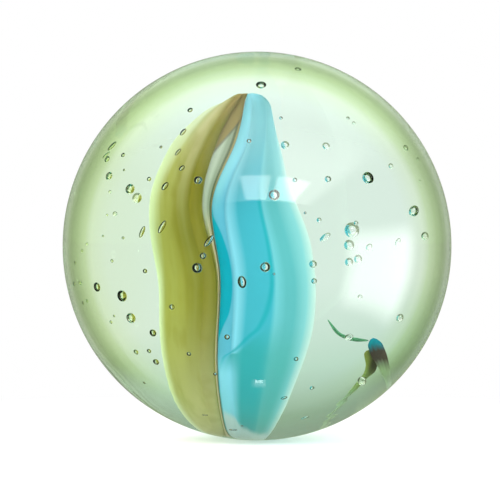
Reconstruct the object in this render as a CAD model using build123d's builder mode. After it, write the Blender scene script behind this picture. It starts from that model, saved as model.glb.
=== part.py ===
import os

from build123d import *

# A glass marble: a clear ball with two coloured vanes fused into it, meeting along a seam.
# Millimetres, +Z up, origin at the ball's centre. The seam faces -Y.

# Driving sizes
marble_diameter = 25.0
vane_cover = 0.6  # depth of clear glass from the surface to where the vane shares count as 1
vane_seam_thickness = 0.8  # along the seam
vane_edge_thickness = 0.2  # along the free edge
seam_gap = 1.0  # clear strip between the two vanes where it is widest
tail_width = 0.8  # where a vane's lower end draws out into its tail
tail_thickness = 0.5
tail_tip_width = 0.45
tail_tip_thickness = 0.3
bubble_diameter = 0.8  # the largest round bubble

marble_radius = marble_diameter / 2
vane_reach = marble_radius - vane_cover

# One row for each level of the vanes, from the top end down, as shares of vane_reach:
# height, seam x, seam y, olive edge x, olive edge y, blue edge x, blue edge y
vane_level_shares = (
    (0.76, -0.05, -0.63, -0.11, -0.60, 0.04, -0.58),
    (0.50, -0.10, -0.70, -0.32, -0.37, 0.07, -0.33),
    (0.20, -0.21, -0.74, -0.39, -0.05, 0.11, -0.05),
    (-0.15, -0.17, -0.71, -0.35, 0.05, 0.20, 0.10),
    (-0.55, -0.18, -0.50, -0.30, 0.08, 0.11, 0.10),
    (-0.90, -0.13, -0.05, -0.15, 0.19, -0.03, 0.19),
)
# At the same levels, shares of vane_seam_thickness and of seam_gap
thickness_shares = (0.5, 0.9, 1.0, 1.0, 1.0, 0.7)
gap_shares = (0.20, 1.0, 0.50, 0.15, 0.15, 0.15)
# Places along each tail, which curls up behind the vanes, as shares of vane_reach
olive_tail_shares = ((-0.18, 0.10, -0.86), (0.02, 0.36, -0.68), (0.20, 0.49, -0.43), (0.295, 0.504, -0.290))
blue_tail_shares = ((-0.06, 0.10, -0.86), (0.28, 0.34, -0.66), (0.35, 0.45, -0.40), (0.326, 0.462, -0.258))

# Bubbles: x, y and z as shares of marble_radius, then length and width as shares of bubble_diameter
bubble_shares = (
    (0.49, -0.55, 0.30, 0.90, 0.90),
    (0.39, -0.45, 0.07, 1.00, 1.00),
    (0.36, -0.30, 0.00, 0.70, 0.70),
    (0.36, -0.35, -0.06, 0.60, 0.60),
    (0.67, -0.30, 0.16, 1.30, 0.80),
    (0.29, -0.55, 0.04, 0.90, 0.45),
    (0.02, -0.45, 0.73, 0.90, 0.90),
    (0.08, -0.80, 0.23, 0.80, 0.80),
    (0.04, -0.78, -0.09, 0.70, 0.70),
    (-0.07, -0.85, -0.16, 0.85, 0.60),
    (-0.22, -0.84, 0.02, 1.20, 0.45),
    (-0.28, -0.85, -0.10, 0.75, 0.75),
    (-0.42, -0.62, 0.08, 1.10, 0.40),
    (-0.53, -0.40, 0.24, 0.75, 0.75),
    (-0.48, -0.30, 0.19, 0.70, 0.70),
    (-0.61, -0.55, -0.23, 0.90, 0.90),
    (-0.74, -0.45, -0.19, 0.90, 0.90),
    (-0.53, -0.35, -0.30, 0.75, 0.75),
)
# Each bubble's lean in degrees: its long way rises this much from +X
bubble_leans = (0, 0, 0, 0, 30, 38, 0, 0, 0, 110, 52, 0, 60, 0, 0, 0, 0, 0)
bubble_sides = 8
bubble_end_share = 0.45  # width of a bubble's ends, as a share of its full width


def vane_section(height, seam, edge, seam_thickness):
    """A vane cut level: a wedge from its seam end to its thin free edge."""
    side = (edge - seam).rotate(Axis.Z, 90).normalized()
    seam_side = side * seam_thickness / 2
    edge_side = side * vane_edge_thickness / 2
    with BuildSketch(Plane.XY.offset(height)) as section:
        with BuildLine():
            Polyline(seam + seam_side, edge + edge_side, edge - edge_side, seam - seam_side, close=True)
        make_face()
    return section.sketch


def olive_sections():
    sections = []
    for row, thickness_share, gap_share in zip(vane_level_shares, thickness_shares, gap_shares):
        height, seam_x, seam_y, edge_x, edge_y = [share * vane_reach for share in row[:5]]
        seam_thickness = vane_seam_thickness * thickness_share
        seam = Vector(seam_x - seam_gap * gap_share - seam_thickness / 2, seam_y)
        sections.append(vane_section(height, seam, Vector(edge_x, edge_y), seam_thickness))
    return sections


def blue_sections():
    sections = []
    for row, thickness_share in zip(vane_level_shares, thickness_shares):
        height, seam_x, seam_y = [share * vane_reach for share in row[:3]]
        edge_x, edge_y = [share * vane_reach for share in row[5:]]
        seam_thickness = vane_seam_thickness * thickness_share
        seam = Vector(seam_x + seam_thickness / 2, seam_y)
        sections.append(vane_section(height, seam, Vector(edge_x, edge_y), seam_thickness))
    return sections


def tail_path(place_shares):
    places = [Vector(*shares) * vane_reach for shares in place_shares]
    with BuildLine() as path:
        Spline(*places)
    return path.line


def tail_sections(path):
    sections = []
    ends = ((0, tail_width, tail_thickness), (1, tail_tip_width, tail_tip_thickness))
    for along, width, thickness in ends:
        with BuildSketch(Plane(path ^ along)) as section:
            Rectangle(thickness, width)
        sections.append(section.sketch)
    return sections


def bubble_sections(place, long_way, length, width):
    sections = []
    for along_share, width_share in ((-1, bubble_end_share), (0, 1), (1, bubble_end_share)):
        middle = place + long_way * length * along_share / 2
        with BuildSketch(Plane(middle, z_dir=long_way)) as section:
            RegularPolygon(width * width_share / 2, bubble_sides)
        sections.append(section.sketch)
    return sections


# Olive vane: the left-hand ribbon and its tail
olive_path = tail_path(olive_tail_shares)
with BuildPart() as olive_vane:
    loft(sections=olive_sections())
    sweep(sections=tail_sections(olive_path), path=olive_path, multisection=True)
olive_vane.part.label = "olive_vane"

# Blue vane: the right-hand ribbon and its tail
blue_path = tail_path(blue_tail_shares)
with BuildPart() as blue_vane:
    loft(sections=blue_sections())
    sweep(sections=tail_sections(blue_path), path=blue_path, multisection=True)
blue_vane.part.label = "blue_vane"

# Glass body: the ball, with the vanes' own space and the bubbles taken out of it
with BuildPart() as glass_body:
    Sphere(marble_radius)
    add(olive_vane.part, mode=Mode.SUBTRACT)
    add(blue_vane.part, mode=Mode.SUBTRACT)
    for (*place_shares, length_share, width_share), lean in zip(bubble_shares, bubble_leans):
        place = Vector(*place_shares) * marble_radius
        long_way = Vector(1, 0, 0).rotate(Axis.Y, -lean)
        length = bubble_diameter * length_share
        width = bubble_diameter * width_share
        loft(sections=bubble_sections(place, long_way, length, width), ruled=True, mode=Mode.SUBTRACT)
glass_body.part.label = "glass_body"

os.makedirs("parts", exist_ok=True)
export_step(glass_body.part, "parts/glass_body.step")
export_step(olive_vane.part, "parts/olive_vane.step")
export_step(blue_vane.part, "parts/blue_vane.step")
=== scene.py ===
import math
import random
import bpy
from mathutils import Matrix, Vector, noise


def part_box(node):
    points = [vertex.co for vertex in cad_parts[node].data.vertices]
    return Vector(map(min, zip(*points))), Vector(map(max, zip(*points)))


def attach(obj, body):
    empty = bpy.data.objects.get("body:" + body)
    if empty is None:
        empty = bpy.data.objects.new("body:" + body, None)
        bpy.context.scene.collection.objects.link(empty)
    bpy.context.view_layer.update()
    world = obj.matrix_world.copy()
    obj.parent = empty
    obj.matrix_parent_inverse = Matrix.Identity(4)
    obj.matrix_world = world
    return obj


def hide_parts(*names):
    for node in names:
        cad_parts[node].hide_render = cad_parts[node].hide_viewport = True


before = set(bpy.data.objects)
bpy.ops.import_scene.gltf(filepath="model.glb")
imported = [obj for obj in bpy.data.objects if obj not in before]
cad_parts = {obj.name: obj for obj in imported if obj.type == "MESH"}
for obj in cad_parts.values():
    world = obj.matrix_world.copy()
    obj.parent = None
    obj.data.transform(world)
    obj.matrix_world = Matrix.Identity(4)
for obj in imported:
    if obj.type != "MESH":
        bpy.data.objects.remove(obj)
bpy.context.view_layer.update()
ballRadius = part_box("glass_body")[1].x
print("frame loaded, ball radius", round(ballRadius * 1000, 2), "mm")


# Small helpers

def clearSelection():
    bpy.ops.object.select_all(action="DESELECT")


def activate(piece):
    clearSelection()
    piece.select_set(True)
    bpy.context.view_layer.objects.active = piece


def newMaterial(name):
    material = bpy.data.materials.new(name)
    material.use_nodes = True
    return material, material.node_tree, material.node_tree.nodes["Principled BSDF"]


def addNode(tree, kind, inputs=None, **settings):
    made = tree.nodes.new(kind)
    for setting, value in settings.items():
        setattr(made, setting, value)
    for socket, value in (inputs or {}).items():
        if isinstance(value, bpy.types.NodeSocket):
            tree.links.new(value, made.inputs[socket])
        else:
            made.inputs[socket].default_value = value
    return made


def calc(tree, operation, *values, clamp=False):
    made = addNode(tree, "ShaderNodeMath", dict(enumerate(values)), operation=operation, use_clamp=clamp)
    return made.outputs[0]


def off(tree, value):
    return calc(tree, "SUBTRACT", 1.0, value)


def both(tree, *values):
    result = values[0]
    for value in values[1:]:
        result = calc(tree, "MULTIPLY", result, value)
    return result


def smoothBand(tree, value, low, high):
    return addNode(tree, "ShaderNodeMapRange", {"Value": value, "From Min": low, "From Max": high},
                   interpolation_type="SMOOTHSTEP").outputs["Result"]


def upTo(tree, value, low, high):
    return off(tree, smoothBand(tree, value, low, high))


def between(tree, value, low, high, soft):
    return both(tree, smoothBand(tree, value, low - soft, low + soft),
                upTo(tree, value, high - soft, high + soft))


def nearLine(tree, value, line, reach):
    away = calc(tree, "ABSOLUTE", calc(tree, "SUBTRACT", value, line))
    return upTo(tree, away, 0.0, reach)


def mixColour(tree, factor, first, second, blend="MIX"):
    made = addNode(tree, "ShaderNodeMix", data_type="RGBA", blend_type=blend)
    for socket, value in ((made.inputs[0], factor), (made.inputs[6], first), (made.inputs[7], second)):
        if isinstance(value, bpy.types.NodeSocket):
            tree.links.new(value, socket)
        else:
            socket.default_value = value
    return made.outputs[2]


def layer(tree, under, colour, *masks):
    return mixColour(tree, both(tree, *masks), under, colour)


def colourRamp(tree, factor, stops, interpolation="EASE"):
    made = addNode(tree, "ShaderNodeValToRGB", {"Fac": factor})
    made.color_ramp.interpolation = interpolation
    elements = made.color_ramp.elements
    while len(elements) < len(stops):
        elements.new(0.5)
    for element, (position, colour) in zip(elements, stops):
        element.position = position
        element.color = colour
    return made.outputs["Color"]


def floatCurve(tree, value, points):
    made = addNode(tree, "ShaderNodeFloatCurve", {"Value": value})
    curve = made.mapping.curves[0]
    while len(curve.points) < len(points):
        curve.points.new(0.5, 0.5)
    for point, (x, y) in zip(curve.points, points):
        point.location = (x, y)
    made.mapping.update()
    return made.outputs[0]


def stopsOf(look, stops):
    return [(position, look[name]) for position, name in look[stops]]


def bandsOf(tree, look):
    # start rises and end falls between the two numbers of a look's entry
    def start(value, name):
        return smoothBand(tree, value, *look[name])

    def end(value, name):
        return upTo(tree, value, *look[name])

    return start, end


def rgb(red, green, blue):
    # a screen colour of 0 to 255 as the linear colour that shaders take
    linear = []
    for part in (red, green, blue):
        part = part / 255
        linear.append(part / 12.92 if part <= 0.04045 else ((part + 0.055) / 1.055) ** 2.4)
    return (*linear, 1.0)


white = (1.0, 1.0, 1.0, 1.0)


# Sight lines: where a look from the front lands inside the glass

sight = {"distance": 12.0, "glassIndex": 1.52}  # distance in ball radii


def sightPlace(across, up, depth):
    # across and up are where the point is seen, depth is its y, all in ball radii
    reach = math.sqrt(sight["distance"] ** 2 - 1)
    look = Vector((across / reach, 1, up / reach)).normalized()
    eye = Vector((0, -sight["distance"], 0))
    ahead = -eye.dot(look)
    entry = eye + look * (ahead - math.sqrt(ahead ** 2 - eye.length_squared + 1))
    ratio = 1 / sight["glassIndex"]
    cosine = -look.dot(entry)
    bent = look * ratio + entry * (ratio * cosine - math.sqrt(1 - ratio ** 2 * (1 - cosine ** 2)))
    return entry + bent * ((depth - entry.y) / bent.y)


# Vanes: two ribbons that meet along the seam

vaneForm = {
    "reach": 0.0119,  # the vane shares count from this radius
    "seamThickness": 0.0008,
    "edgeThickness": 0.0002,
    "seamGap": 0.0010,
    "nose": 0.00022,  # how far the rounded front stands out along the seam
    "around": 72,
    "along": 130,
    "endTaper": 25,  # how short the two ends run out thin
    "edgeTaper": 12,  # and how short the free edge does
    "edgeWave": 0.00022,  # how far the free edge waves in and out
    "edgeWaves": 9,  # and how often
    "waveRow": {"olive": 3.1, "blue": 7.7},  # so that the two edges wave apart
    "bow": 0.00025,  # how far the faces swell
    "ripples": (3, 5, 1.7),  # how many across and along, and their row of noise
    "topRound": 0.0006,  # how far the top end drops towards the free edge
    "topSpan": 0.12,
}
# the map goes round a ribbon: its inner face, its nose along the seam, its outer face
noseStart, noseEnd = 0.42, 0.58
# from the top down: height, seam x, seam y, olive edge x, olive edge y, blue edge x, blue edge y
vaneLevels = (
    (0.76, -0.05, -0.63, -0.11, -0.60, 0.04, -0.58),
    (0.50, -0.10, -0.70, -0.32, -0.37, 0.07, -0.33),
    (0.20, -0.21, -0.74, -0.39, -0.05, 0.126, -0.05),
    (-0.15, -0.17, -0.71, -0.358, 0.05, 0.212, 0.10),
    (-0.55, -0.18, -0.50, -0.312, 0.08, 0.118, 0.10),
    (-0.90, -0.13, -0.05, -0.15, 0.19, -0.03, 0.19),
)
seamThicknessShares = (0.5, 0.9, 1.0, 1.0, 1.0, 0.7)
seamGapShares = (0.20, 1.0, 0.50, 0.15, 0.15, 0.15)


def betweenPlaces(values, share):
    # smooth run through evenly spaced values, share from 0 at the first to 1 at the last
    spot = min(max(share, 0), 1) * (len(values) - 1)
    index = min(int(spot), len(values) - 2)
    t = spot - index
    start, end = values[index], values[index + 1]
    before = values[index - 1] if index > 0 else 2 * start - end
    after = values[index + 2] if index + 2 < len(values) else 2 * end - start
    return 0.5 * (2 * start + (end - before) * t + (2 * before - 5 * start + 4 * end - after) * t * t
                  + (3 * start - before - 3 * end + after) * t ** 3)


def vaneLines(side, v):
    # the middle of the seam end, the free edge and half the seam's thickness at one level
    height, seamX, seamY, oliveX, oliveY, blueX, blueY = [
        betweenPlaces(column, v) * vaneForm["reach"] for column in zip(*vaneLevels)]
    half = betweenPlaces(seamThicknessShares, v) * vaneForm["seamThickness"] / 2
    gap = betweenPlaces(seamGapShares, v) * vaneForm["seamGap"]
    if side == "olive":
        return Vector((seamX - gap - half, seamY, height)), Vector((oliveX, oliveY, height)), half
    return Vector((seamX + half, seamY, height)), Vector((blueX, blueY, height)), half


def vanePoint(side, s, v):
    seam, edge, half = vaneLines(side, v)
    run = edge - seam
    outward = Vector((run.y, -run.x, 0)).normalized() * (1 if side == "blue" else -1)
    half *= min(1, math.sqrt(max(0, min(v, 1 - v)) * vaneForm["endTaper"]))
    if noseStart < s < noseEnd:
        turn = (s - noseStart) / (noseEnd - noseStart) * math.pi - math.pi / 2
        return seam + outward * half * math.sin(turn) - run.normalized() * vaneForm["nose"] * math.cos(turn)
    inner = s <= noseStart
    u = 1 - s / noseStart if inner else (s - noseEnd) / (1 - noseEnd)
    thin = half * (1 - u) + vaneForm["edgeThickness"] / 2 * u
    thin *= min(1, math.sqrt((1 - u) * vaneForm["edgeTaper"]))
    wave = noise.noise(Vector((v * vaneForm["edgeWaves"], vaneForm["waveRow"][side], 0)))
    wave *= vaneForm["edgeWave"] * u
    across, along, row = vaneForm["ripples"]
    ripple = noise.noise(Vector((u * across, v * along, row))) * vaneForm["bow"] * u
    swell = math.sin(math.pi * u) ** 2 * vaneForm["bow"] + ripple
    drop = vaneForm["topRound"] * u ** 2 * max(0, 1 - v / vaneForm["topSpan"]) ** 2
    place = seam + run * u + run.normalized() * wave + outward * (swell + (-thin if inner else thin))
    return place - Vector((0, 0, drop))


skinForm = {"weld": 0.000001, "smoothAngle": math.radians(50)}  # for every skin bent from a grid


def closeSkin(piece):
    activate(piece)
    bpy.ops.object.mode_set(mode="EDIT")
    bpy.ops.mesh.select_all(action="SELECT")
    bpy.ops.mesh.remove_doubles(threshold=skinForm["weld"])
    bpy.ops.mesh.select_all(action="DESELECT")
    bpy.ops.mesh.select_non_manifold()
    bpy.ops.mesh.edge_face_add()
    bpy.ops.mesh.select_all(action="SELECT")
    bpy.ops.mesh.normals_make_consistent(inside=False)
    bpy.ops.object.mode_set(mode="OBJECT")
    bpy.ops.object.shade_smooth_by_angle(angle=skinForm["smoothAngle"])


def makeSkin(name, around, along, placeOf, mapStart=0):
    # a grid bent round into a closed skin, its map running round it and from the top down
    clearSelection()
    bpy.ops.mesh.primitive_grid_add(x_subdivisions=around, y_subdivisions=along, size=1, calc_uvs=True)
    piece = bpy.context.active_object
    piece.name = piece.data.name = name
    for vertex in piece.data.vertices:
        vertex.co = placeOf(vertex.co.x + 0.5, 0.5 - vertex.co.y)
    for loop in piece.data.uv_layers.active.data:
        loop.uv.y = mapStart + 1 - loop.uv.y
    closeSkin(piece)
    return piece


def joinInto(piece, others):
    clearSelection()
    for other in others:
        other.select_set(True)
    piece.select_set(True)
    bpy.context.view_layer.objects.active = piece
    bpy.ops.object.join()


# Tails: each vane's lower end drawn out round the back, and the hair at the blue one's tip

tailForm = {"around": 12, "along": 90, "step": 0.01}  # step: how far on and back the way is read
# places in vane shares, widths along the way, thickness as a share of them, and how short the ends taper
tails = {
    "olive": {
        "places": ((-0.18, 0.10, -0.86), (0.02, 0.36, -0.68), (0.20, 0.49, -0.435), (0.264, 0.502, -0.369),
                   (0.303, 0.504, -0.322), (0.303, 0.504, -0.282)),
        "widths": (0.0008, 0.0004, 0.00022, 0.00014, 0.00010, 0.00010, 0.00012, 0.00016, 0.00034, 0.00038,
                   0.00030),
        "thickness": 0.7,
        "taper": 25,
    },
    "blue": {
        "places": ((-0.06, 0.10, -0.86), (0.28, 0.34, -0.66), (0.35, 0.45, -0.40), (0.326, 0.462, -0.258)),
        "widths": (0.0008, 0.0004, 0.00022, 0.00016, 0.00012, 0.00010, 0.00010, 0.00012, 0.00034, 0.00052,
                   0.00046),
        "thickness": 0.7,
        "taper": 25,
    },
    "hair": {
        "places": ((0.314, 0.462, -0.266), (0.274, 0.480, -0.262), (0.247, 0.490, -0.255),
                   (0.224, 0.500, -0.241), (0.199, 0.505, -0.207)),
        "widths": (0.00012, 0.00012, 0.0001),
        "thickness": 1.0,
        "taper": 5,
    },
}


def makeTail(name, mapStart):
    form = tails[name]
    line = [Vector(place) * vaneForm["reach"] for place in form["places"]]
    step = tailForm["step"]

    def placeOf(s, t):
        middle = betweenPlaces(line, t)
        ahead = (betweenPlaces(line, t + step) - betweenPlaces(line, t - step)).normalized()
        outward = (middle - ahead * middle.dot(ahead)).normalized()
        taper = min(1, math.sqrt(max(0, min(t, 1 - t)) * form["taper"])) / 2
        size = betweenPlaces(form["widths"], t) * taper
        thin = size * form["thickness"]
        turn = s * 2 * math.pi
        return middle + ahead.cross(outward) * math.cos(turn) * size + outward * math.sin(turn) * thin

    return makeSkin("tail", tailForm["around"], tailForm["along"], placeOf, mapStart)


def makeVane(side):
    return makeSkin(side + "_ribbon", vaneForm["around"], vaneForm["along"], lambda s, v: vanePoint(side, s, v))


oliveVane, blueVane = makeVane("olive"), makeVane("blue")
joinInto(oliveVane, [makeTail("olive", 1)])
joinInto(blueVane, [makeTail("blue", 1), makeTail("hair", 2)])
print("vanes made,", len(oliveVane.data.polygons) + len(blueVane.data.polygons), "faces")


# Web: the thin sheet that closes the strip between the two vanes, grey-green above as painted shade of the dim
# gap between them, and a beige line below

webForm = {
    "top": 0.004,
    "bottom": 0.996,
    "setBack": 0.00022,
    "thickness": 0.0001,
    "around": 24,
    "along": 110,
    "seat": 0.45,  # where on each vane's nose it starts
}


def makeWeb():
    def placeOf(s, t):
        v = webForm["top"] + (webForm["bottom"] - webForm["top"]) * t
        oliveSide, blueSide = [vanePoint(side, webForm["seat"], v) for side in ("olive", "blue")]
        across = abs(2 * s - 1)  # there and back again
        behind = webForm["thickness"] * 4 * across * (1 - across) * (1 if s < 0.5 else -1) / 2
        return oliveSide.lerp(blueSide, across) + Vector((0, webForm["setBack"] + behind, 0))

    return makeSkin("seam_web", webForm["around"], webForm["along"], placeOf)


seamWeb = makeWeb()
print("web made")


# Bubbles: where each is seen from the front, its depth, its length and width as seen, and its lean in degrees

bubbleForm = {
    "subdivisions": 3,
    "swell": 0.004,
    "seeds": 70,  # how many small ones are scattered at the back
    "seed": 41,
    "seedSizes": (0.007, 0.019),
    "seedStretches": (1, 1, 1, 1.2, 1.5),
    "seedFront": -0.2,
    "seedReach": 0.95,
    "clearWidth": (0.35, 1.05, 1.144),  # what the front look takes up: least, and by depth
}
bubbleSights = (
    # right of the blue vane
    (0.144, 0.519, -0.5, 0.041, 0.041, 0), (0.355, 0.514, -0.3, 0.036, 0.036, 0),
    (0.571, 0.350, -0.55, 0.062, 0.062, 0), (0.689, 0.411, -0.2, 0.026, 0.026, 0),
    (0.766, 0.504, 0, 0.031, 0.031, 0), (0.365, 0.344, -0.6, 0.031, 0.031, 0),
    (0.087, 0.262, -0.8, 0.057, 0.057, 0), (0.195, 0.339, -0.7, 0.021, 0.021, 0),
    (0.807, 0.180, -0.3, 0.072, 0.051, 30), (0.864, 0.051, 0.1, 0.041, 0.041, 0),
    (0.488, 0.082, -0.45, 0.077, 0.077, 0), (0.509, 0.118, -0.5, 0.021, 0.021, 0),
    (0.350, 0.046, -0.55, 0.062, 0.026, 35), (0.473, 0.005, -0.3, 0.051, 0.051, 0),
    (0.725, 0.021, 0, 0.041, 0.021, 60), (0.576, -0.005, -0.1, 0.036, 0.026, 45),
    (0.123, 0.658, -0.6, 0.015, 0.015, 0), (0.468, 0.658, -0.3, 0.015, 0.015, 0),
    (0.499, 0.632, -0.2, 0.015, 0.015, 0), (0.828, 0.447, 0.1, 0.015, 0.015, 0),
    (0.838, 0.334, 0, 0.010, 0.010, 0), (0.021, 0.828, -0.45, 0.051, 0.051, 0),
    (0.211, 0.910, -0.2, 0.031, 0.031, 0), (0.247, 0.170, -0.75, 0.010, 0.010, 0),
    (0.319, 0.134, -0.5, 0.021, 0.021, 0), (0.288, -0.093, -0.6, 0.036, 0.036, 0),
    (0.293, -0.180, -0.6, 0.026, 0.026, 0), (0.473, -0.082, -0.35, 0.041, 0.041, 0),
    (0.519, -0.067, -0.2, 0.041, 0.041, 0), (0.530, -0.262, 0.2, 0.021, 0.021, 0),
    (0.735, -0.370, -0.1, 0.041, 0.041, 0), (0.473, -0.468, 0.3, 0.041, 0.026, 20),
    (0.540, -0.694, 0.3, 0.041, 0.041, 0),
    # in front of the blue vane
    (0.041, -0.108, -0.78, 0.051, 0.051, 0), (0.087, -0.144, -0.8, 0.010, 0.010, 0),
    (-0.077, -0.185, -0.85, 0.062, 0.041, 100), (-0.154, -0.468, -0.72, 0.026, 0.026, 0),
    (-0.041, 0.540, -0.75, 0.021, 0.021, 0), (0.201, -0.581, -0.55, 0.021, 0.021, 0),
    (0.283, -0.730, -0.3, 0.021, 0.021, 0), (0.139, -0.781, -0.45, 0.031, 0.015, 20),
    (0.247, -0.884, -0.2, 0.041, 0.015, 20), (-0.123, -0.946, -0.33, 0.041, 0.015, 10),
    (-0.077, -0.925, -0.35, 0.010, 0.010, 0),
    # in front of the olive vane
    (-0.344, 0.699, -0.6, 0.026, 0.026, 0), (-0.380, 0.586, -0.65, 0.041, 0.021, 55),
    (-0.406, 0.483, -0.7, 0.041, 0.015, 50), (-0.494, 0.509, -0.6, 0.013, 0.013, 0),
    (-0.555, 0.344, -0.5, 0.021, 0.021, 0), (-0.473, 0.308, -0.7, 0.046, 0.026, 50),
    (-0.386, 0.401, -0.72, 0.031, 0.021, 40), (-0.303, 0.339, -0.8, 0.041, 0.041, 0),
    (-0.488, 0.098, -0.62, 0.072, 0.026, 58), (-0.247, 0.026, -0.84, 0.072, 0.026, 50),
    (-0.278, -0.051, -0.84, 0.031, 0.031, 0), (-0.308, -0.113, -0.85, 0.051, 0.051, 0),
    (-0.437, -0.314, -0.6, 0.026, 0.026, 0), (-0.350, -0.555, -0.6, 0.021, 0.021, 0),
    (-0.267, -0.869, -0.3, 0.031, 0.010, 15), (-0.216, -0.658, -0.6, 0.015, 0.015, 0),
    # left of the olive vane
    (-0.653, 0.293, -0.4, 0.051, 0.051, 0), (-0.617, 0.247, -0.3, 0.051, 0.051, 0),
    (-0.761, 0.360, -0.3, 0.041, 0.041, 0), (-0.771, 0.447, -0.2, 0.031, 0.031, 0),
    (-0.746, 0.514, -0.25, 0.062, 0.026, 35), (-0.776, 0.468, -0.1, 0.051, 0.015, 30),
    (-0.689, 0.468, -0.4, 0.021, 0.021, 0), (-0.684, 0.391, -0.5, 0.010, 0.010, 0),
    (-0.756, 0.278, 0, 0.015, 0.015, 0), (-0.771, 0.159, -0.2, 0.010, 0.010, 0),
    (-0.730, 0.165, 0.1, 0.021, 0.021, 0), (-0.792, 0.051, -0.3, 0.010, 0.010, 0),
    (-0.689, 0.041, -0.4, 0.013, 0.013, 0), (-0.591, 0.072, -0.5, 0.062, 0.021, 65),
    (-0.874, 0.010, 0.1, 0.013, 0.013, 0), (-0.900, -0.026, 0, 0.015, 0.015, 0),
    (-0.936, -0.087, -0.1, 0.015, 0.015, 0), (-0.746, -0.077, -0.3, 0.015, 0.015, 0),
    (-0.576, -0.129, -0.6, 0.021, 0.021, 0), (-0.823, -0.211, -0.45, 0.046, 0.046, 0),
    (-0.694, -0.257, -0.55, 0.057, 0.057, 0), (-0.648, -0.370, -0.35, 0.051, 0.051, 0),
    (-0.751, -0.391, -0.2, 0.015, 0.015, 0), (-0.735, -0.360, -0.3, 0.010, 0.010, 0),
    (-0.941, -0.195, 0, 0.021, 0.021, 0), (-0.910, -0.190, 0.1, 0.021, 0.021, 0),
    (-0.895, -0.293, -0.1, 0.015, 0.015, 0), (-0.874, -0.283, 0, 0.015, 0.015, 0),
    (-0.936, -0.334, 0.2, 0.015, 0.015, 0), (-0.535, -0.447, -0.6, 0.036, 0.036, 0),
    (-0.555, -0.540, -0.5, 0.021, 0.021, 0), (-0.622, -0.545, -0.3, 0.026, 0.026, 0),
    (-0.519, -0.596, -0.45, 0.031, 0.031, 0), (-0.581, -0.704, -0.3, 0.013, 0.013, 0),
)


def makeSeedBubble():
    clearSelection()
    bpy.ops.mesh.primitive_ico_sphere_add(subdivisions=bubbleForm["subdivisions"], radius=0.5)
    bubble = bpy.context.active_object
    bpy.ops.object.mode_set(mode="EDIT")
    bpy.ops.mesh.select_all(action="SELECT")
    bpy.ops.mesh.flip_normals()  # a bubble is a hole in the glass
    bpy.ops.object.mode_set(mode="OBJECT")
    bpy.ops.object.shade_smooth()
    return bubble


def bubbleMatrices():
    matrices = []
    for across, up, depth, length, width, lean in bubbleSights:
        place = sightPlace(across, up, depth)
        shrink = math.hypot(place.x, place.z) / math.hypot(across, up)  # the ball magnifies what is inside
        turn = Matrix.Rotation(-math.radians(lean), 4, "Y")
        long, wide = (length + bubbleForm["swell"]) * shrink, (width + bubbleForm["swell"]) * shrink
        size = Matrix.Diagonal((long, wide, wide, 1))
        matrices.append(Matrix.Scale(ballRadius, 4) @ Matrix.Translation(place) @ turn @ size)
    # small seeds at the back, beside the sight lines from the front
    draw = random.Random(bubbleForm["seed"])
    least, middle, slope = bubbleForm["clearWidth"]
    made = 0
    while made < bubbleForm["seeds"]:
        place = Vector((draw.uniform(-1, 1), draw.uniform(bubbleForm["seedFront"], 1), draw.uniform(-1, 1)))
        size = draw.uniform(*bubbleForm["seedSizes"])
        stretch = draw.choice(bubbleForm["seedStretches"])
        outer = math.hypot(place.x, place.z)
        if place.length > bubbleForm["seedReach"] or outer < max(least, middle - slope * place.y):
            continue
        swing = Matrix.Rotation(draw.uniform(0, math.pi), 4, "Z")
        turn = swing @ Matrix.Rotation(draw.uniform(0, math.pi), 4, "Y")
        shape = Matrix.Diagonal((size * stretch, size, size, 1))
        matrices.append(Matrix.Scale(ballRadius, 4) @ Matrix.Translation(place) @ turn @ shape)
        made += 1
    return matrices


# Ball: a slightly uneven sphere with the bubbles as holes in it

ballForm = {"subdivisions": 7, "unevenness": 0.0012, "waves": 1.6, "flowWander": 1.4, "flowGrain": 5}
# flow marks on the surface: the middle of each patch, its reach, depth and spacing, in ball radii
flowMarks = (
    ((0.32, -0.40, -0.86), 0.18, 0.0002, 0.085),
    ((-0.64, -0.32, -0.70), 0.24, 0.0008, 0.080),
    ((0.10, 0.62, 0.78), 0.40, 0.0002, 0.095),
)


def flowDepth(outward):
    depth = 0
    turn = math.acos(max(-1, min(1, -outward.y)))
    wander = ballForm["flowWander"] * noise.noise(outward * ballForm["flowGrain"])
    for middle, reach, deep, spacing in flowMarks:
        away = (outward - Vector(middle).normalized()).length / reach
        phase = turn / spacing + wander
        depth += deep * math.exp(-away * away) * (0.5 + 0.5 * math.sin(2 * math.pi * phase))
    return depth


def makeBall():
    clearSelection()
    bpy.ops.mesh.primitive_ico_sphere_add(subdivisions=ballForm["subdivisions"], radius=ballRadius)
    ball = bpy.context.active_object
    ball.name = ball.data.name = "marble_glass"
    for vertex in ball.data.vertices:
        outward = vertex.co.normalized()
        dent = 0.5 + 0.5 * noise.noise(outward * ballForm["waves"])
        vertex.co = outward * ballRadius * (1 - ballForm["unevenness"] * max(0, dent) - flowDepth(outward))
    activate(ball)
    bpy.ops.object.shade_smooth()
    return ball


ball = makeBall()
seedBubble = makeSeedBubble()
copies = []
for matrix in bubbleMatrices():
    mesh = seedBubble.data.copy()
    mesh.transform(matrix)
    copy = bpy.data.objects.new("bubble", mesh)
    bpy.context.scene.collection.objects.link(copy)
    copies.append(copy)
bpy.data.objects.remove(seedBubble)
joinInto(ball, copies)
print("ball made with", len(copies), "bubbles,", len(ball.data.polygons), "faces")


# Materials

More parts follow.
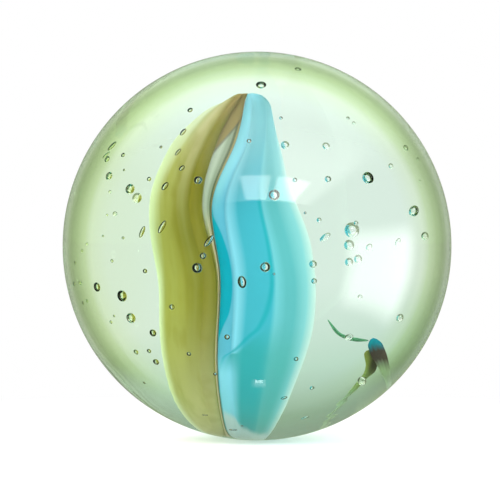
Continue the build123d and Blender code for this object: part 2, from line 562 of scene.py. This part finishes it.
glassLook = {
    "colour": (0.38, 0.81, 0.55, 1.0),  # what passes the glass, at the density below
    "density": 20.0,
    "index": 1.52,
    # painted shade towards the outline, by how far the surface turns away: the dark olive band stands in for
    # dim surroundings seen through the rim
    "rimBlend": 0.5,
    "rim": ((0.36, (1, 1, 1, 1)), (0.48, (0.95, 0.98, 0.76, 1)), (0.54, (0.62, 0.73, 0.36, 1)),
            (0.62, (0.34, 0.44, 0.16, 1)), (0.70, (0.21, 0.28, 0.095, 1)), (0.75, (0.28, 0.34, 0.15, 1)),
            (0.80, (0.56, 0.58, 0.40, 1)), (0.90, (0.75, 0.78, 0.68, 1))),
    "oliveReflection": (0.97, 1.0, 0.74, 1.0),  # painted reflection: the olive vane's yellow mirrored in the glass on its side
    "leftFrom": (-0.002, -0.009),
    "clearBelow": (-0.0072, -0.0102),  # underneath, the painted shade at the outline is paler again
    "clearShare": 0.75,
}


def glassMaterial():
    material, tree, shader = newMaterial("pale_green_glass")
    look = glassLook
    # painted shade: the dark band towards the outline stands in for dim surroundings seen through the glass
    facing = addNode(tree, "ShaderNodeLayerWeight", {"Blend": look["rimBlend"]}).outputs["Facing"]
    place = addNode(tree, "ShaderNodeSeparateXYZ", {0: addNode(tree, "ShaderNodeTexCoord").outputs["Object"]})
    # painted reflection: the left of the glass is yellowed as if it mirrored the olive vane
    left = smoothBand(tree, place.outputs[0], *look["leftFrom"])
    below = smoothBand(tree, place.outputs[2], *look["clearBelow"])
    rim = layer(tree, colourRamp(tree, facing, look["rim"], "LINEAR"), white, below, look["clearShare"])
    tint = mixColour(tree, 1.0, rim, mixColour(tree, left, white, look["oliveReflection"]), "MULTIPLY")
    tree.links.new(tint, shader.inputs["Base Color"])
    shader.inputs["Transmission Weight"].default_value = 1.0
    shader.inputs["Roughness"].default_value = 0.0
    shader.inputs["IOR"].default_value = look["index"]
    absorb = addNode(tree, "ShaderNodeVolumeAbsorption", {"Color": look["colour"], "Density": look["density"]})
    tree.links.new(absorb.outputs[0], tree.nodes["Material Output"].inputs["Volume"])
    return material


# In the vanes' looks, s goes round a ribbon, with its front from 0.45 on, and v goes down it: to 1 at its lower
# end, to 2 at its tail's tip, and past that in the hair. A From rises and a To falls between its numbers, and a
# Share is how much of the colour goes on.

blueLook = {
    "seamLine": rgb(176, 158, 112),
    "strip": rgb(20, 169, 191),
    "nose": rgb(100, 188, 214),  # the pale front where the deep strip is not
    # painted shade: the upper nose darkened against the extra light it catches
    "shadedNoseTop": rgb(132, 210, 224),
    # pale: a painted highlight in the band just past the nose, and also the pale strip along the lower seam
    "pale": rgb(150, 228, 252),
    "middle": rgb(77, 188, 211),
    "fold": rgb(34, 176, 192),
    "besideFold": rgb(124, 206, 220),
    "turquoise": rgb(104, 188, 198),
    "nearEdge": rgb(146, 212, 220),
    "low": rgb(94, 184, 184),
    "teal": rgb(60, 174, 178),
    "top": rgb(164, 236, 250),
    "foot": rgb(206, 228, 234),
    "inner": rgb(74, 190, 208),
    "fringe": rgb(218, 240, 236),
    "tail": rgb(30, 140, 164),
    "tailDull": rgb(184, 198, 178),
    "tailDark": rgb(80, 64, 62),
    "hair": rgb(104, 158, 126),
    # where they lie
    "streaks": (12.0, 2.4),  # how fine, across and along
    "shift": 0.02,  # how far the streaks push the bands
    # at 0.60 the pale band past the nose is a painted highlight: the sheen on the vane's curved front
    "acrossStops": ((0.0, "fringe"), (0.05, "inner"), (0.42, "inner"), (0.445, "seamLine"), (0.455, "nose"),
                    (0.56, "nose"), (0.60, "pale"), (0.66, "middle"), (0.78, "middle"), (0.80, "besideFold"),
                    (0.85, "turquoise"), (0.89, "turquoise"), (0.95, "nearEdge"), (1.0, "fringe")),
    "outerFrom": (0.45, 0.47),
    "stripFrom": (0.44, 0.455),
    "stripTo": (0.0, 0.015),
    "stripPath": ((0, 0.42), (0.40, 0.44), (0.50, 0.52), (0.58, 0.545), (0.66, 0.535), (0.73, 0.46),
                  (0.78, 0.42), (1, 0.42)),
    "foldPath": ((0, 0.79), (0.40, 0.785), (0.55, 0.78), (0.63, 0.77), (0.69, 0.735), (0.715, 0.69),
                 (0.76, 0.59), (0.78, 0.5), (1, 0.4)),
    "foldReach": 0.022,
    "foldFrom": (0.30, 0.42),
    "foldShare": 0.75,
    "underFrom": (0.66, 0.76),
    "underSideFrom": (0.0, 0.05),
    "underSideTo": (0.89, 1.0),
    "underShare": 0.8,
    "lowColourFrom": (0.74, 0.84),
    "lowStripFrom": (0.76, 0.82),
    "lowStripTo": (0.56, 0.66),
    "lowStripShare": 0.85,
    "topTo": (0.12, 0.40),
    "topShare": 0.75,
    "noseTopTo": (0.34, 0.46),
    "noseTopSideTo": (0.48, 0.575),
    "footPath": ((0, 0.91), (0.45, 0.91), (0.58, 0.925), (0.68, 0.938), (0.80, 0.934), (0.95, 0.90),
                 (1, 0.89)),
    "footShift": 0.02,
    "footFrom": (-0.012, 0.012),
    "footShare": 0.9,
    "tailFrom": (1.0, 1.02),
    "tailShift": 0.05,
    "tailStops": ((0.0, "inner"), (0.45, "tail"), (0.64, "tailDull"), (0.78, "tailDull"), (0.85, "tailDark"),
                  (0.905, "tailDark"), (0.955, "tail")),
    "hairFrom": (2.0, 2.02),
}
oliveLook = {
    "seamLine": rgb(214, 206, 160),
    "gold": rgb(136, 132, 44),
    "middle": rgb(160, 157, 76),
    "light": rgb(176, 178, 112),
    "beige": rgb(208, 200, 152),
    "top": rgb(190, 188, 122),
    "low": rgb(186, 186, 134),
    "foot": rgb(202, 199, 142),
    "stub": rgb(158, 142, 84),
    "fringe": rgb(222, 232, 200),
    "stem": rgb(150, 166, 104),
    "stemStart": rgb(166, 184, 156),
    "tail": rgb(146, 150, 80),
    "tailDark": rgb(70, 66, 42),
    # where they lie
    "streaks": (8.0, 1.3),  # how fine, across and along
    "shift": 0.07,  # how far the streaks push the bands
    "acrossStops": ((0.0, "fringe"), (0.05, "light"), (0.30, "middle"), (0.42, "gold"), (0.68, "gold"),
                    (0.76, "middle"), (0.88, "middle"), (0.97, "light")),
    "beigeFrom": (0.42, 0.62),
    "topFrom": (0.56, 0.68),
    "topTo": (0.14, 0.52),
    "topShare": 0.9,
    "lowFrom": (0.62, 0.92),
    "lowShare": 0.85,
    "footFrom": (0.80, 0.95),
    "footShare": 0.9,
    "lightFrom": (0.40, 0.80),
    "lightTo": (0.75, 0.9),
    "lightShare": 0.35,
    "cloudScale": 520.0,
    "cloudDetail": 2.0,
    "cloudFrom": (0.45, 0.75),
    "cloudShare": 0.35,
    "stubTo": (0.04, 0.16),
    "stubSideTo": (0.56, 0.72),
    "seamLineAt": 0.44,
    "seamLineReach": 0.012,
    "seamLineTo": (0.40, 0.52),
    "seamLineShare": 0.8,
    "fadePath": ((0, 0.68), (0.15, 0.68), (0.40, 0.86), (0.8, 0.89), (1, 0.84)),
    "innerEdgeTo": (0.0, 0.05),
    "tailFrom": (1.0, 1.02),
    "stemFrom": (1.46, 1.64),
    "tipFrom": (1.64, 1.82),
    "tipSideFrom": (0.58, 0.80),
}
webLook = {
    # pale, grey and dark: painted shade of the dim gap between the vanes
    "pale": rgb(192, 206, 184),
    "grey": rgb(158, 174, 146),
    "dark": rgb(104, 118, 84),
    "line": rgb(190, 172, 112),
    "oliveSide": rgb(164, 160, 82),
    "seam": rgb(220, 208, 166),
    "stub": rgb(160, 144, 86),
    "apex": rgb(92, 84, 50),
    "seamDark": rgb(150, 150, 110),
    # where they lie
    "streaks": (10.0, 2.5),  # how fine, across and along
    "shift": 0.12,  # how far the streaks push the bands
    # the upper stops, from pale to dark, are painted shade of the gap between the vanes
    "upperStops": ((0.0, "pale"), (0.40, "pale"), (0.58, "grey"), (0.72, "grey"), (0.80, "dark"),
                   (0.86, "dark"), (0.92, "line"), (1.0, "line")),
    "lowerStops": ((0.0, "oliveSide"), (0.40, "oliveSide"), (0.50, "seam"), (0.74, "seam"), (0.84, "seamDark"),
                   (1.0, "seamDark")),
    "lowerFrom": (0.40, 0.52),
    "slant": 0.13,
    "stubTo": (0.10, 0.12),
    "apexAt": 0.115,
    "apexReach": 0.02,
    "apexShare": 0.6,
}
vaneFinish = {"roughness": 0.6, "streakDetail": 2.0, "streakRoughness": 0.45}


def vaneCoordinates(tree, acrossScale, alongScale):
    parts = addNode(tree, "ShaderNodeSeparateXYZ", {0: addNode(tree, "ShaderNodeUVMap").outputs[0]})
    s, v = parts.outputs[0], parts.outputs[1]
    stretched = addNode(tree, "ShaderNodeCombineXYZ", {0: calc(tree, "MULTIPLY", s, acrossScale),
                                                       1: calc(tree, "MULTIPLY", v, alongScale)})
    streaks = addNode(tree, "ShaderNodeTexNoise", {"Vector": stretched.outputs[0], "Scale": 1.0,
                                                   "Detail": vaneFinish["streakDetail"],
                                                   "Roughness": vaneFinish["streakRoughness"]})
    return s, v, streaks.outputs["Fac"]


def shiftBy(tree, value, streaks, amount):
    return calc(tree, "ADD", value, calc(tree, "MULTIPLY", calc(tree, "SUBTRACT", streaks, 0.5), amount))


def vaneShader(name):
    material, tree, shader = newMaterial(name)
    shader.inputs["Roughness"].default_value = vaneFinish["roughness"]
    shader.inputs["Specular IOR Level"].default_value = 0.0
    return material, tree, shader


def blueMaterial():
    material, tree, shader = vaneShader("turquoise_glass")
    look = blueLook
    start, end = bandsOf(tree, look)
    s, v, streaks = vaneCoordinates(tree, *look["streaks"])
    shifted = shiftBy(tree, s, streaks, look["shift"])
    outer = start(s, "outerFrom")
    # across the ribbon, with a painted highlight in the pale band just past the nose
    colour = colourRamp(tree, shifted, stopsOf(look, "acrossStops"), "LINEAR")
    # the deep strip beside the seam, widest halfway down
    pastStrip = calc(tree, "SUBTRACT", shifted, floatCurve(tree, v, look["stripPath"]))
    colour = layer(tree, colour, look["strip"], start(s, "stripFrom"), end(pastStrip, "stripTo"))
    # the fold runs down and then back to the seam, with deeper colour under it
    fold = floatCurve(tree, v, look["foldPath"])
    pastFold = calc(tree, "SUBTRACT", shifted, fold)
    under = mixColour(tree, start(shifted, "lowColourFrom"), look["teal"], look["low"])
    colour = layer(tree, colour, under, start(v, "underFrom"), start(pastFold, "underSideFrom"),
                   end(shifted, "underSideTo"), look["underShare"])
    colour = layer(tree, colour, look["fold"], nearLine(tree, shifted, fold, look["foldReach"]),
                   start(v, "foldFrom"), look["foldShare"])
    # a pale strip along the lower seam and pale ends
    colour = layer(tree, colour, look["pale"], start(v, "lowStripFrom"), outer, end(shifted, "lowStripTo"),
                   look["lowStripShare"])
    colour = layer(tree, colour, look["top"], end(v, "topTo"), outer, look["topShare"])
    # painted shade on the upper nose, against the extra light it catches
    colour = layer(tree, colour, look["shadedNoseTop"], end(v, "noseTopTo"), outer, end(s, "noseTopSideTo"))
    lowEnd = shiftBy(tree, v, streaks, look["footShift"])
    pastFoot = calc(tree, "SUBTRACT", lowEnd, floatCurve(tree, s, look["footPath"]))
    colour = layer(tree, colour, look["foot"], start(pastFoot, "footFrom"), outer, look["footShare"])
    # the tail dulls on its way, darkens and is blue again at its tip
    along = calc(tree, "SUBTRACT", shiftBy(tree, v, streaks, look["tailShift"]), 1.0)
    tail = colourRamp(tree, along, stopsOf(look, "tailStops"), "LINEAR")
    colour = layer(tree, colour, tail, start(v, "tailFrom"))
    colour = layer(tree, colour, look["hair"], start(v, "hairFrom"))
    tree.links.new(colour, shader.inputs["Base Color"])
    return material


def oliveMaterial():
    material, tree, shader = vaneShader("olive_glass_ribbon")
    look = oliveLook
    start, end = bandsOf(tree, look)
    s, v, streaks = vaneCoordinates(tree, *look["streaks"])
    shifted = shiftBy(tree, s, streaks, look["shift"])
    colour = colourRamp(tree, shifted, stopsOf(look, "acrossStops"))
    # paler towards both ends, with pale streaks and a darker cloud
    pale = mixColour(tree, start(streaks, "beigeFrom"), look["top"], look["beige"])
    colour = layer(tree, colour, pale, end(v, "topTo"), start(shifted, "topFrom"), look["topShare"])
    colour = layer(tree, colour, look["low"], start(v, "lowFrom"), look["lowShare"])
    colour = layer(tree, colour, look["foot"], start(v, "footFrom"), look["footShare"])
    colour = layer(tree, colour, look["light"], start(streaks, "lightFrom"), end(v, "lightTo"),
                   look["lightShare"])
    place = addNode(tree, "ShaderNodeTexCoord").outputs["Object"]
    cloud = addNode(tree, "ShaderNodeTexNoise", {"Vector": place, "Scale": look["cloudScale"],
                                                 "Detail": look["cloudDetail"]})
    colour = layer(tree, colour, look["gold"], start(cloud.outputs["Fac"], "cloudFrom"), look["cloudShare"])
    colour = layer(tree, colour, look["stub"], end(v, "stubTo"), end(s, "stubSideTo"))
    seamLine = nearLine(tree, s, look["seamLineAt"], look["seamLineReach"])
    colour = layer(tree, colour, look["seamLine"], seamLine, end(v, "seamLineTo"), look["seamLineShare"])
    # the free edge fades out, over a wider run near the top
    fadePath = floatCurve(tree, v, look["fadePath"])
    fade = calc(tree, "DIVIDE", calc(tree, "SUBTRACT", shifted, fadePath), off(tree, fadePath))
    edges = calc(tree, "MAXIMUM", smoothBand(tree, fade, 0.0, 1.0), end(s, "innerEdgeTo"))
    colour = layer(tree, colour, look["fringe"], edges)
    # the tail: a pale stem with a darker tip
    tip = mixColour(tree, start(s, "tipSideFrom"), look["tailDark"], look["tail"])
    stem = mixColour(tree, start(v, "stemFrom"), look["stemStart"], look["stem"])
    tail = mixColour(tree, start(v, "tipFrom"), stem, tip)
    colour = layer(tree, colour, tail, start(v, "tailFrom"))
    tree.links.new(colour, shader.inputs["Base Color"])
    return material


def webMaterial():
    material, tree, shader = vaneShader("grey_green_web")
    look = webLook
    start, end = bandsOf(tree, look)
    s, v, streaks = vaneCoordinates(tree, *look["streaks"])
    across = calc(tree, "ABSOLUTE", calc(tree, "SUBTRACT", calc(tree, "MULTIPLY", s, 2.0), 1.0))
    shifted = shiftBy(tree, across, streaks, look["shift"])
    # the upper colours are painted shade of the dim gap between the vanes
    upper = colourRamp(tree, shifted, stopsOf(look, "upperStops"), "LINEAR")
    lower = colourRamp(tree, across, stopsOf(look, "lowerStops"), "LINEAR")
    colour = mixColour(tree, start(v, "lowerFrom"), upper, lower)
    # folded shut at the top, down to a slanting end
    slant = calc(tree, "SUBTRACT", v, calc(tree, "MULTIPLY", off(tree, across), look["slant"]))
    colour = layer(tree, colour, look["stub"], end(slant, "stubTo"))
    apex = nearLine(tree, slant, look["apexAt"], look["apexReach"])
    colour = layer(tree, colour, look["apex"], apex, look["apexShare"])
    tree.links.new(colour, shader.inputs["Base Color"])
    return material


for piece, material in ((ball, glassMaterial()), (blueVane, blueMaterial()), (oliveVane, oliveMaterial()),
                        (seamWeb, webMaterial())):
    piece.data.materials.clear()
    piece.data.materials.append(material)
print("materials set")

for piece, node, slot in ((ball, "glass_body", "clear_glass"), (blueVane, "blue_vane", "blue_glass"),
                          (oliveVane, "olive_vane", "olive_glass")):
    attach(piece, "root")
    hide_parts(node)
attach(seamWeb, "root")


# Stage: floor, world, lights and camera

stageLook = {
    "floorSize": 4.0,
    "floorColour": (0.92, 0.92, 0.92, 1.0),
    "floorRoughness": 0.9,
    "shadowReach": (0.012, 0.045),  # the floor turns to plain white between these distances
    "ambient": (0.95, 0.95, 0.95, 1.0),
    # seen through the glass: the tint by height
    "ceiling": ((0.12, (1, 1, 1, 1)), (0.45, (0.72, 0.85, 0.76, 1)), (0.75, (0.41, 0.53, 0.41, 1))),
    "ceilingLean": 0.45,  # to the right the ceiling starts higher
    "vaneLight": (1.84, 2.95),  # what reaches the vanes inside, from the right and from the front left
    "vaneLightFrom": (-0.55, -0.80, 0.25),
    "vaneLightStart": -0.3,
    "vaneLightBehind": 2.0,  # more of it for their inner sides
    "behindFrom": (0.25, 0.90),
    "mirrorFront": (0.08, 0.08, 0.08, 1.0),  # what the glass mirrors
    "mirrorBack": (0.36, 0.42, 0.29, 1.0),
    "mirrorBackFrom": (-0.2, 0.8),
    # the mirrored window, by x and y over height
    "leastHeight": 0.05,
    "windowLeft": (-1.0, 0.0),
    "windowRight": (1.05, 1.45),
    "windowFront": (-2.11, -2.05),
    "windowBack": (-0.9, 0.5),
    "windowGlow": 2.4,
    "paneWidth": (-0.25, 0.85, 0.05),  # from, to and softness
    "paneLength": (-2.0, -1.15, 0.05),
    "paneBar": (0.20, 0.30, 0.03),
    "paneGlow": 5.0,
    # the mirrored card, by y over x and by height
    "leastAside": 0.05,
    "cardWidth": (-0.68, 0.20, 0.16),
    "cardHeight": (-0.48, 0.10, 0.10),
    "cardFrom": (0.2, 0.4),
    "cardGlow": 5.5,
}


def after(tree, path, kind):
    # 1 once the path of light has met a surface of this kind
    return calc(tree, "MINIMUM", path.outputs[kind + " Depth"], 1.0)


def makeFloor():
    clearSelection()
    bpy.ops.mesh.primitive_plane_add(size=stageLook["floorSize"], location=(0, 0, 0))
    floor = bpy.context.active_object
    floor.name = "floor"
    for vertex in floor.data.vertices:
        vertex.co.z = -ballRadius
    floor.visible_glossy = False
    material, tree, shader = newMaterial("pale_floor")
    shader.inputs["Base Color"].default_value = stageLook["floorColour"]
    shader.inputs["Roughness"].default_value = stageLook["floorRoughness"]
    shader.inputs["Specular IOR Level"].default_value = 0.0
    place = addNode(tree, "ShaderNodeTexCoord").outputs["Object"]
    flat = addNode(tree, "ShaderNodeVectorMath", {0: place, 1: (1, 1, 0)}, operation="MULTIPLY").outputs[0]
    distance = addNode(tree, "ShaderNodeVectorMath", {0: flat}, operation="LENGTH").outputs["Value"]
    away = smoothBand(tree, distance, *stageLook["shadowReach"])
    path = addNode(tree, "ShaderNodeLightPath")
    seen = calc(tree, "ADD", path.outputs["Is Camera Ray"], path.outputs["Is Glossy Ray"], clamp=True)
    seen = calc(tree, "ADD", seen, path.outputs["Is Transmission Ray"], clamp=True)
    # mirrored in a bubble it is dim, as the room is
    tint = mixColour(tree, after(tree, path, "Glossy"), white, stageLook["mirrorBack"])
    glow = addNode(tree, "ShaderNodeEmission", {"Color": tint, "Strength": 1.0})
    mixed = addNode(tree, "ShaderNodeMixShader", {0: both(tree, away, seen), 1: shader.outputs[0],
                                                  2: glow.outputs[0]})
    tree.links.new(mixed.outputs[0], tree.nodes["Material Output"].inputs["Surface"])
    floor.data.materials.append(material)


def mirroredRoom(tree, x, y, z):
    # a dim room, a softbox overhead with a window in it, a card at the right
    look = stageLook
    start, end = bandsOf(tree, look)
    room = mixColour(tree, start(y, "mirrorBackFrom"), look["mirrorFront"], look["mirrorBack"])
    height = calc(tree, "MAXIMUM", z, look["leastHeight"])
    overX, overY = calc(tree, "DIVIDE", x, height), calc(tree, "DIVIDE", y, height)
    window = both(tree, start(overX, "windowLeft"), end(overX, "windowRight"),
                  start(overY, "windowFront"), end(overY, "windowBack"))
    panes = both(tree, between(tree, overX, *look["paneWidth"]), between(tree, overY, *look["paneLength"]),
                 off(tree, between(tree, overX, *look["paneBar"])))
    aside = calc(tree, "DIVIDE", y, calc(tree, "MAXIMUM", x, look["leastAside"]))
    card = both(tree, between(tree, aside, *look["cardWidth"]), between(tree, z, *look["cardHeight"]),
                start(x, "cardFrom"))
    glow = 0.0
    for shape, strength in ((window, "windowGlow"), (panes, "paneGlow"), (card, "cardGlow")):
        glow = calc(tree, "ADD", glow, both(tree, shape, look[strength]))
    return mixColour(tree, 1.0, room, glow, "ADD")


def vaneLight(tree, direction, y):
    # even and soft, brighter from the front left, with more from behind
    look = stageLook
    source = Vector(look["vaneLightFrom"]).normalized()
    towards = addNode(tree, "ShaderNodeVectorMath", {0: direction, 1: source}, operation="DOT_PRODUCT")
    dim, bright = look["vaneLight"]
    soft = addNode(tree, "ShaderNodeMapRange", {"Value": towards.outputs["Value"],
                                                "From Min": look["vaneLightStart"], "To Min": dim,
                                                "To Max": bright}, interpolation_type="SMOOTHSTEP")
    behind = both(tree, smoothBand(tree, y, *look["behindFrom"]), look["vaneLightBehind"])
    return calc(tree, "ADD", soft.outputs["Result"], behind)


def makeWorld():
    world = bpy.data.worlds.new("studio")
    bpy.context.scene.world = world
    world.use_nodes = True
    tree = world.node_tree
    direction = addNode(tree, "ShaderNodeTexCoord").outputs["Generated"]
    x, y, z = addNode(tree, "ShaderNodeSeparateXYZ", {0: direction}).outputs
    path = addNode(tree, "ShaderNodeLightPath")
    mirrored = mirroredRoom(tree, x, y, z)
    colour = mixColour(tree, path.outputs["Is Glossy Ray"], stageLook["ambient"], mirrored)
    # through the glass: white, darker above; the dim room in a bubble's mirror; soft light on the vanes
    lean = both(tree, calc(tree, "MAXIMUM", x, 0.0), stageLook["ceilingLean"])
    through = colourRamp(tree, calc(tree, "SUBTRACT", z, lean), stageLook["ceiling"], "LINEAR")
    through = layer(tree, through, mirrored, after(tree, path, "Glossy"))
    through = layer(tree, through, vaneLight(tree, direction, y), after(tree, path, "Diffuse"))
    colour = layer(tree, colour, through, path.outputs["Is Transmission Ray"])
    colour = layer(tree, colour, white, path.outputs["Is Camera Ray"])
    tree.links.new(colour, tree.nodes["Background"].inputs["Color"])


lamps = {
    # name: direction, distance, width, height, glow
    "frontLeft": ((-0.80, -0.55, 0.28), 0.50, 0.50, 0.50, 7.0),
    "frontRight": ((0.75, -0.62, 0.28), 0.50, 0.45, 0.45, 5.0),
}


def addLamp(name, direction, distance, width, height, glow):
    place = Vector(direction).normalized() * distance
    data = bpy.data.lights.new(name, "AREA")
    data.shape = "RECTANGLE"
    data.size = width
    data.size_y = height
    data.energy = glow * math.pi * width * height
    lamp = bpy.data.objects.new(name, data)
    lamp.location = place
    lamp.rotation_euler = place.to_track_quat("Z", "Y").to_euler()
    lamp.visible_camera = lamp.visible_glossy = lamp.visible_transmission = False
    bpy.context.scene.collection.objects.link(lamp)


cameraForm = {"distance": 0.15, "lens": 167.5, "sensor": 36.0, "shiftX": -0.014, "shiftY": -0.001,
              "clipStart": 0.001}


def makeCamera():
    data = bpy.data.cameras.new("camera")
    data.lens = cameraForm["lens"]
    data.sensor_width = cameraForm["sensor"]
    data.shift_x = cameraForm["shiftX"]
    data.shift_y = cameraForm["shiftY"]
    data.clip_start = cameraForm["clipStart"]
    camera = bpy.data.objects.new("camera", data)
    camera.location = (0, -cameraForm["distance"], 0)
    camera.rotation_euler = (math.pi / 2, 0, 0)
    bpy.context.scene.collection.objects.link(camera)
    bpy.context.scene.camera = camera


makeFloor()
makeWorld()
for name, settings in lamps.items():
    addLamp(name, *settings)
makeCamera()
bpy.context.scene.view_settings.view_transform = "Standard"
print("stage set")
